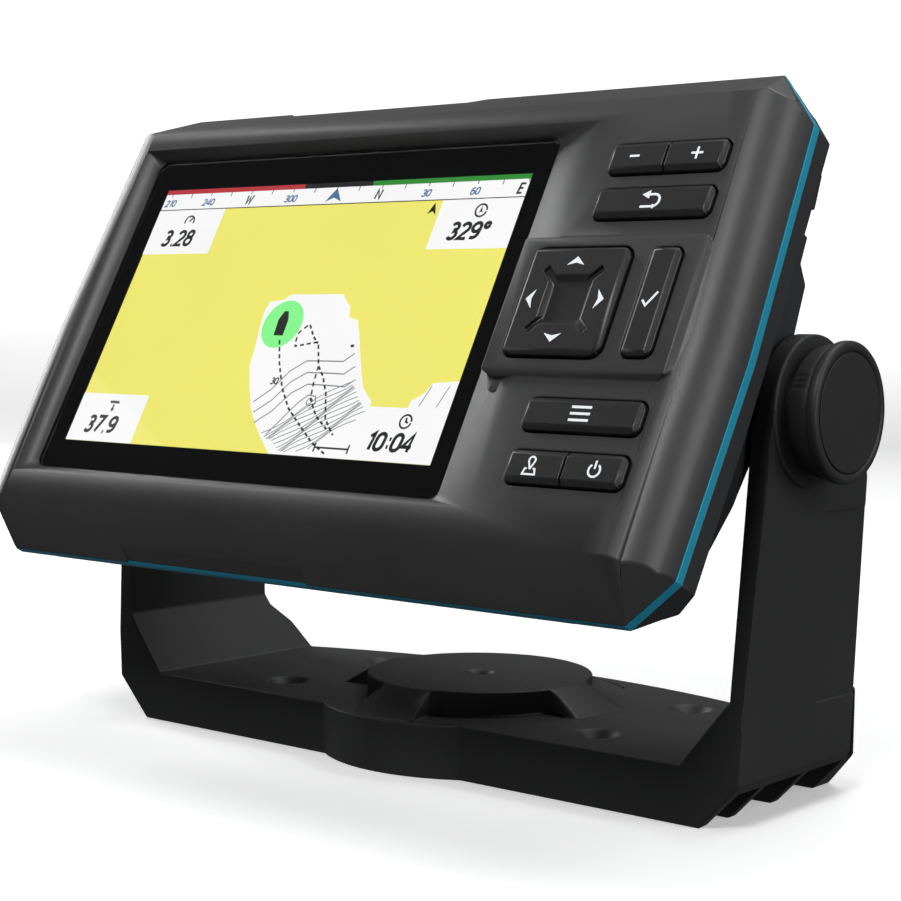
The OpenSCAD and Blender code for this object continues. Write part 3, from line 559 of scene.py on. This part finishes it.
class Screen:
    """One colour of the picture on one layer; points are millimetres from the middle of the screen."""

    def __init__(self, name, material, layer):
        self.name, self.material = name, material
        self.near = PANEL.lo.y - LAYER * (layer + 1)
        self.far = self.near + SHEET
        self.solid = Solid()

    def plate(self, outline):
        self.solid.prism([(CX + x, CZ + z) for x, z in outline], self.near, self.far)

    def rect(self, x1, z1, x2, z2):
        self.plate([(x1, z1), (x2, z1), (x2, z2), (x1, z2)])

    def line(self, points, width=0.3):
        self.solid.stroke([(CX + x, CZ + z) for x, z in points], width, self.near, self.far)

    def dashes(self, points, width=0.45, dash=1.1, gap=0.75):
        walk = [Vector(p) for p in points]
        lengths = [(b - a).length for a, b in zip(walk, walk[1:])]
        total = sum(lengths)

        def at(s):
            for a, b, length in zip(walk, walk[1:], lengths):
                if s <= length:
                    return a.lerp(b, s / length)
                s -= length
            return walk[-1]

        s = 0.0
        while s < total - 0.3:
            stop = min(s + dash, total)
            self.line([at(s), at((s + stop) / 2), at(stop)], width)
            s += dash + gap

    def done(self):
        put(self.name, self.solid, self.material, "head")


HALF_W = SCREEN_W / 2
HALF_H = SCREEN_H / 2
TAPE_LOW = 27.0
BAR_LOW = 31.2
BAR_GAP = (-9.2, 11.2)

GLYPHS = {
    "0": [arc(0.3, 0.7, 0.28, 0, 180, 6) + arc(0.3, 0.3, 0.28, 180, 360, 6) + [(0.58, 0.7)]],
    "1": [[(0.12, 0.78), (0.36, 1.0), (0.36, 0.0)]],
    "2": [arc(0.3, 0.7, 0.27, 165, -35, 7) + [(0.02, 0.0), (0.6, 0.0)]],
    "3": [arc(0.29, 0.74, 0.25, 150, -80, 7) + arc(0.29, 0.27, 0.28, 80, -150, 7)],
    "4": [[(0.46, 0.0), (0.46, 1.0), (0.0, 0.28), (0.62, 0.28)]],
    "6": [[(0.5, 0.92)] + arc(0.32, 0.66, 0.3, 90, 180, 4) + arc(0.3, 0.3, 0.29, 170, -190, 12)],
    "7": [[(0.02, 1.0), (0.6, 1.0), (0.2, 0.0)]],
    "8": [arc(0.3, 0.75, 0.23, 0, 360, 12), arc(0.3, 0.27, 0.28, 0, 360, 12)],
    "9": [[(0.1, 0.06)] + arc(0.28, 0.34, 0.3, -90, 0, 4) + arc(0.3, 0.7, 0.28, -10, 350, 12)],
    ".": [[(0.12, 0.0), (0.24, 0.0)]],
    ":": [[(0.1, 0.22), (0.24, 0.22)], [(0.1, 0.68), (0.24, 0.68)]],
    "-": [[(0.1, 0.5), (0.5, 0.5)]],
    "o": [arc(0.2, 0.82, 0.16, 0, 360, 10)],
    "N": [[(0.05, 0.0), (0.05, 1.0), (0.6, 0.0), (0.6, 1.0)]],
    "W": [[(0.0, 1.0), (0.18, 0.0), (0.4, 0.8), (0.62, 0.0), (0.8, 1.0)]],
    "E": [[(0.55, 1.0), (0.06, 1.0), (0.06, 0.0), (0.55, 0.0)], [(0.06, 0.52), (0.48, 0.52)]],
}
BOLD = 0.22
ADVANCE = {".": 0.42, ":": 0.42, "1": 0.62, "W": 1.05, "o": 0.5}


def write(screen, text, x, z, height, weight=0.16, slant=0.18):
    """Draws digits from x rightwards with their foot at z."""
    for char in text:
        for points in GLYPHS[char]:
            screen.line([(x + height * (px + slant * pz), z + height * pz) for px, pz in points],
                        height * weight)
        x += height * ADVANCE.get(char, 0.78)


def width_of(text, height):
    return height * sum(ADVANCE.get(c, 0.78) for c in text)


def draw_chart():
    land = Screen("chart_land", LAND, 0)
    land.rect(-HALF_W, -HALF_H, HALF_W, HALF_H)
    land.done()
    shore = Screen("chart_water", WHITE, 1)
    shore.plate([(-0.6, 4.7), (14.6, 4.8), (15.6, 3.6), (17.8, 1.8), (18.6, -0.6), (21.4, -1.4), (23.2, -4.6),
                 (25.2, -8.6), (27.3, -12.5), (29.6, -16.6), (33.2, -19.6), (33.2, -HALF_H), (10.4, -HALF_H),
                 (6.8, -29.3), (3.6, -26.2), (0.2, -22.2), (-2.6, -17.2), (-4.9, -12.6), (-5.5, -7.6),
                 (-6.3, -3.4), (-6.8, 0.4), (-6.2, 2.9), (-2.2, 3.4)])
    shore.plate([(HALF_W, -14.4), (47.6, -15.0), (45.8, -17.6), (43.4, -19.1), (43.2, -21.5), (HALF_W, -21.5)])
    shore.rect(-HALF_W, TAPE_LOW, HALF_W, HALF_H)
    shore.done()


def draw_contours():
    """Depth lines: three bold ones over the bay and a fan of close ones down its slope."""
    lines = Screen("chart_contours", GREY, 2)
    bay = [(0.4, -20.9), (4.2, -17.9), (7.7, -13.4), (11.4, -11.0), (16.9, -10.9), (21.6, -10.9), (23.9, -9.0)]
    for k in range(3):
        shift = Vector((1.5, -3.0)) * k
        lines.line([Vector(p) + shift * (0.8 + 0.03 * i) for i, p in enumerate(bay)], 0.28)
    lines.line([(7.6, -28.2), (13.3, -20.6), (15.4, -18.8), (17.5, -19.0), (18.2, -20.6), (16.9, -21.9)], 0.28)
    lines.line(arc(16.4, -20.3, 0.8, 0, 330, 10), 0.22)
    for k in range(14):
        start = Vector((6.2 + 0.78 * k, -27.9 - 0.4 * k))
        reach = Vector((19.5, 12.8)) * (1 - 0.012 * k)
        wave = [start + reach * t + Vector((0.35, -0.5)) * math.sin(7 * t + k) for t in
                [i / 8 for i in range(9)]]
        lines.line([p for p in wave if p.y > -HALF_H + 0.3 and p.x < 33], 0.2)
    for x in (45.9, 50.4):
        lines.line([(x, -20.2), (x + 1.6, -15.6)], 0.22)
    lines.done()


def draw_marks():
    halo = Screen("boat_halo", GREEN, 3)
    halo.plate(arc(0.1, -2.5, 5.7, 0, 350, 35))
    halo.done()
    marks = Screen("chart_marks", DARK, 4)
    marks.plate([(-0.6, 0.6), (-1.5, -1.4), (-1.2, -5.2), (1.5, -5.2), (1.4, -1.4), (0.6, 0.6)])
    marks.dashes([(1.1, -6.3), (3.6, -11.6), (7.2, -17.4), (11.2, -22.0), (16.6, -26.0), (21.2, -29.3),
                  (26.2, -31.8)])
    marks.dashes([(12.4, -6.6), (6.2, -7.7), (5.8, -4.6), (8.2, -2.4), (10.6, -5.3), (12.6, -6.9)])
    marks.dashes([(12.9, -7.2), (15.2, -12.1), (17.5, -14.4), (20.1, -18.2), (22.6, -24.0), (26.2, -27.4)])
    marks.dashes([(15.2, -12.1), (15.6, -15.9), (16.4, -19.6), (19.7, -23.4), (24.8, -26.8)])
    marks.line([(22.4, -30.3), (31.8, -30.3)], 0.4)
    for x in (22.5, 31.7):
        marks.line([(x, -31.3), (x, -29.3)], 0.4)
    marks.plate([(22.1, -7.6), (23.0, -7.6), (23.0, -7.0), (22.1, -7.0)])
    marks.plate([(29.6, 23.6), (30.9, 26.4), (32.0, 23.4), (30.9, 24.3)])
    write(marks, "30", 3.2, -16.6, 1.4, BOLD)
    # compass tape: ticks, letters and degrees
    marks.rect(-HALF_W, TAPE_LOW - 0.14, HALF_W, TAPE_LOW + 0.1)
    marks.rect(BAR_GAP[0], BAR_LOW, BAR_GAP[1], HALF_H)
    for k in range(-8, 9):
        marks.line([(1.0 + 6.6 * k, BAR_LOW), (1.0 + 6.6 * k, BAR_LOW - (1.1 if k % 2 else 0.7))], 0.22)
    for text, x in (("W", -25.4), ("N", 14.0), ("E", 52.6)):
        write(marks, text, x - 1.0, 27.9, 2.2, BOLD)
    marks.done()
    blue = Screen("chart_blue", BLUE, 4)
    for text, x in (("210", -51.4), ("240", -38.6), ("300", -12.2), ("30", 27.4), ("60", 40.6)):
        write(blue, text, x - width_of(text, 1.6) / 2, 28.0, 1.6, BOLD)
    blue.plate([(1.0, 31.0), (-1.4, 27.6), (1.0, 28.6), (3.4, 27.6)])
    blue.done()


def draw_bars():
    for name, material, x1, x2 in (("port_bar", RED_BAR, -HALF_W, BAR_GAP[0]),
                                   ("starboard_bar", GREEN_BAR, BAR_GAP[1], HALF_W)):
        bar = Screen(name, material, 3)
        bar.rect(x1, BAR_LOW, x2, HALF_H)
        bar.done()


DATA_BOXES = [(-HALF_W, 15.2, -32.0, TAPE_LOW, "3.28", -49.0), (32.8, 15.2, HALF_W, TAPE_LOW, "329o", 37.2),
              (-HALF_W, -HALF_H, -32.2, -20.7, "37.9", -49.2), (33.0, -HALF_H, HALF_W, -20.7, "10:04", 35.6)]


def data_icon(inks, kind, x, z):
    """Small pictograms over the figures: dial, compass, sounding and clock."""
    if kind == 0:
        inks.line(arc(x, z - 0.4, 1.45, -20, 200, 14), 0.42)
        inks.line([(x, z - 0.4), (x + 0.7, z + 0.5)], 0.48)
    elif kind == 1:
        inks.line(arc(x, z, 1.45, 0, 350, 20), 0.42)
        inks.plate([(x - 0.45, z - 0.6), (x, z + 0.95), (x + 0.45, z - 0.6), (x, z - 0.3)])
    elif kind == 2:
        inks.line([(x - 1.5 + 0.25 * i, z + 0.9 + 0.22 * math.sin(2.1 * i)) for i in range(13)], 0.42)
        inks.line([(x, z + 0.3), (x, z - 1.3)], 0.48)
        inks.plate([(x - 0.6, z - 0.7), (x + 0.6, z - 0.7), (x, z - 1.5)])
    else:
        inks.line(arc(x, z, 1.45, 0, 350, 20), 0.42)
        inks.line([(x, z + 0.85), (x, z), (x + 0.65, z - 0.25)], 0.46)


FIGURE_FOOT = 2.35
FIGURE_H = 3.7


def draw_data():
    paper = Screen("data_boxes", WHITE, 5)
    inks = Screen("data_figures", DARK, 6)
    for kind, (x1, z1, x2, z2, text, x) in enumerate(DATA_BOXES):
        paper.rect(x1, z1, x2, z2 if z2 < TAPE_LOW else z2 - 0.15)
        write(inks, text, x, z1 + FIGURE_FOOT, FIGURE_H, BOLD)
        data_icon(inks, kind, (x1 + x2) / 2 + 0.6, z2 - 2.9)
    paper.done()
    inks.done()


draw_chart()
draw_contours()
draw_marks()
draw_bars()
draw_data()


def lens_border():
    """Black print on the back of the lens, round the picture."""
    y = LENS.hi.y - 0.08
    outer = round_rect(LENS.mid.x, LENS.mid.z, LENS.size.x - 0.4, LENS.size.z - 0.4, 2.0)
    inner = round_rect(CX, CZ, SCREEN_W + 0.3, SCREEN_H + 0.3, 0.2)
    solid = Solid()
    solid.ring(outer, inner, y, y + 0.05)
    put("lens_print", solid, INK, "head")


lens_border()

# ---------------------------------------------------------------- studio
CAM_AZ, CAM_EL, CAM_ROLL = math.radians(39.34), math.radians(4.16), math.radians(0.5)
CAM_DIST = 0.44276
CAM_TARGET = Vector((0, 0, 0.06423))
LENS_MM = 79.32
SENSOR_MM = 36
SHIFT = (-0.0346, 0.0104)


def camera():
    back = Vector((math.sin(CAM_AZ) * math.cos(CAM_EL), -math.cos(CAM_AZ) * math.cos(CAM_EL),
                   math.sin(CAM_EL)))
    right = Vector((0, 0, 1)).cross(back).normalized()
    up = back.cross(right)
    x_axis = right * math.cos(CAM_ROLL) + up * math.sin(CAM_ROLL)
    y_axis = up * math.cos(CAM_ROLL) - right * math.sin(CAM_ROLL)
    data = bpy.data.cameras.new("camera")
    data.sensor_width = SENSOR_MM
    data.lens = LENS_MM
    data.shift_x, data.shift_y = SHIFT
    data.clip_start = 0.01
    data.clip_end = 20
    cam = bpy.data.objects.new("camera", data)
    rotation = Matrix((x_axis, y_axis, back)).transposed().to_4x4()
    cam.matrix_world = Matrix.Translation(CAM_TARGET + back * CAM_DIST) @ rotation
    bpy.context.scene.collection.objects.link(cam)
    bpy.context.scene.camera = cam


def softbox(name, direction, distance, size, power, aim=(0, 0, 0.07)):
    data = bpy.data.lights.new(name, "AREA")
    data.shape = "RECTANGLE"
    data.size, data.size_y = size
    data.energy = power
    lamp = bpy.data.objects.new(name, data)
    lamp.location = Vector(aim) + Vector(direction).normalized() * distance
    lamp.rotation_euler = Vector(direction).to_track_quat("Z", "Y").to_euler()
    bpy.context.scene.collection.objects.link(lamp)


# The sweep behind the object, in metres, and how strongly its floor and its wall glow
FLOOR_R = 1.1
BEND_R = 0.5
WALL_TOP = 1.0
FLOOR_GLOW = 0.34
WALL_GLOW = 0.85
GLOW_RISE = 0.12


def sweep():
    """A round white floor that curves up all the way round."""
    bend = [(FLOOR_R + BEND_R * math.sin(a), BEND_R - BEND_R * math.cos(a))
            for a in [math.radians(15 * i) for i in range(1, 7)]]
    profile = [(0.0, 0.0), (FLOOR_R, 0.0)] + bend + [(FLOOR_R + BEND_R, WALL_TOP)]
    steps = 96
    verts = [(0, 0, 0)]
    faces = []
    for r, z in profile[1:]:
        verts += [(r * math.cos(2 * math.pi * k / steps), r * math.sin(2 * math.pi * k / steps), z)
                  for k in range(steps)]
    for k in range(steps):
        m = (k + 1) % steps
        faces.append([0, 1 + k, 1 + m])
        for i in range(len(profile) - 2):
            a, b = 1 + i * steps, 1 + (i + 1) * steps
            faces.append([a + k, b + k, b + m, a + m])
    mesh = bpy.data.meshes.new("floor")
    mesh.from_pydata(verts, [], faces)
    mesh.shade_smooth()
    m, tree, shader = new_material("floor_white")
    mottle = ramp(tree, noise(tree, 3, 3), 0, 1)
    tree.links.new(tint(tree, mottle, (0.86, 0.86, 0.86), (0.89, 0.89, 0.89)), shader.inputs["Base Color"])
    shader.inputs["Roughness"].default_value = 0.7
    shader.inputs["Specular IOR Level"].default_value = 0.2
    height = tree.nodes.new("ShaderNodeSeparateXYZ")
    tree.links.new(tree.nodes.new("ShaderNodeTexCoord").outputs["Object"], height.inputs["Vector"])
    glow = ramp(tree, height.outputs["Z"], FLOOR_GLOW, WALL_GLOW, 0.0, GLOW_RISE)
    tree.links.new(glow, shader.inputs["Emission Strength"])
    shader.inputs["Emission Color"].default_value = (1, 1, 1, 1)
    mesh.materials.append(m)
    floor = bpy.data.objects.new("floor", mesh)
    bpy.context.scene.collection.objects.link(floor)
    # The bright sweep is a backdrop: the studio round it is dim, so it lights nothing itself
    floor.visible_glossy = False
    floor.visible_diffuse = False


def world():
    w = bpy.data.worlds.new("studio")
    w.use_nodes = True
    w.node_tree.nodes["Background"].inputs["Color"].default_value = (0.62, 0.63, 0.65, 1)
    w.node_tree.nodes["Background"].inputs["Strength"].default_value = 0.16
    bpy.context.scene.world = w


camera()
sweep()
world()
softbox("top_box", (0.15, 0.35, 1), 1.2, (1.0, 0.8), 6.5)
softbox("left_box", (-0.93, 0.08, 0.38), 1.1, (0.34, 0.8), 7.0)
softbox("front_box", (0.22, -0.68, 0.70), 1.3, (0.35, 0.3), 7.0)
softbox("right_box", (1, 0.05, 0.35), 1.1, (0.35, 0.8), 4.2)
bpy.context.scene.view_settings.view_transform = "Standard"

bpy.context.view_layer.update()
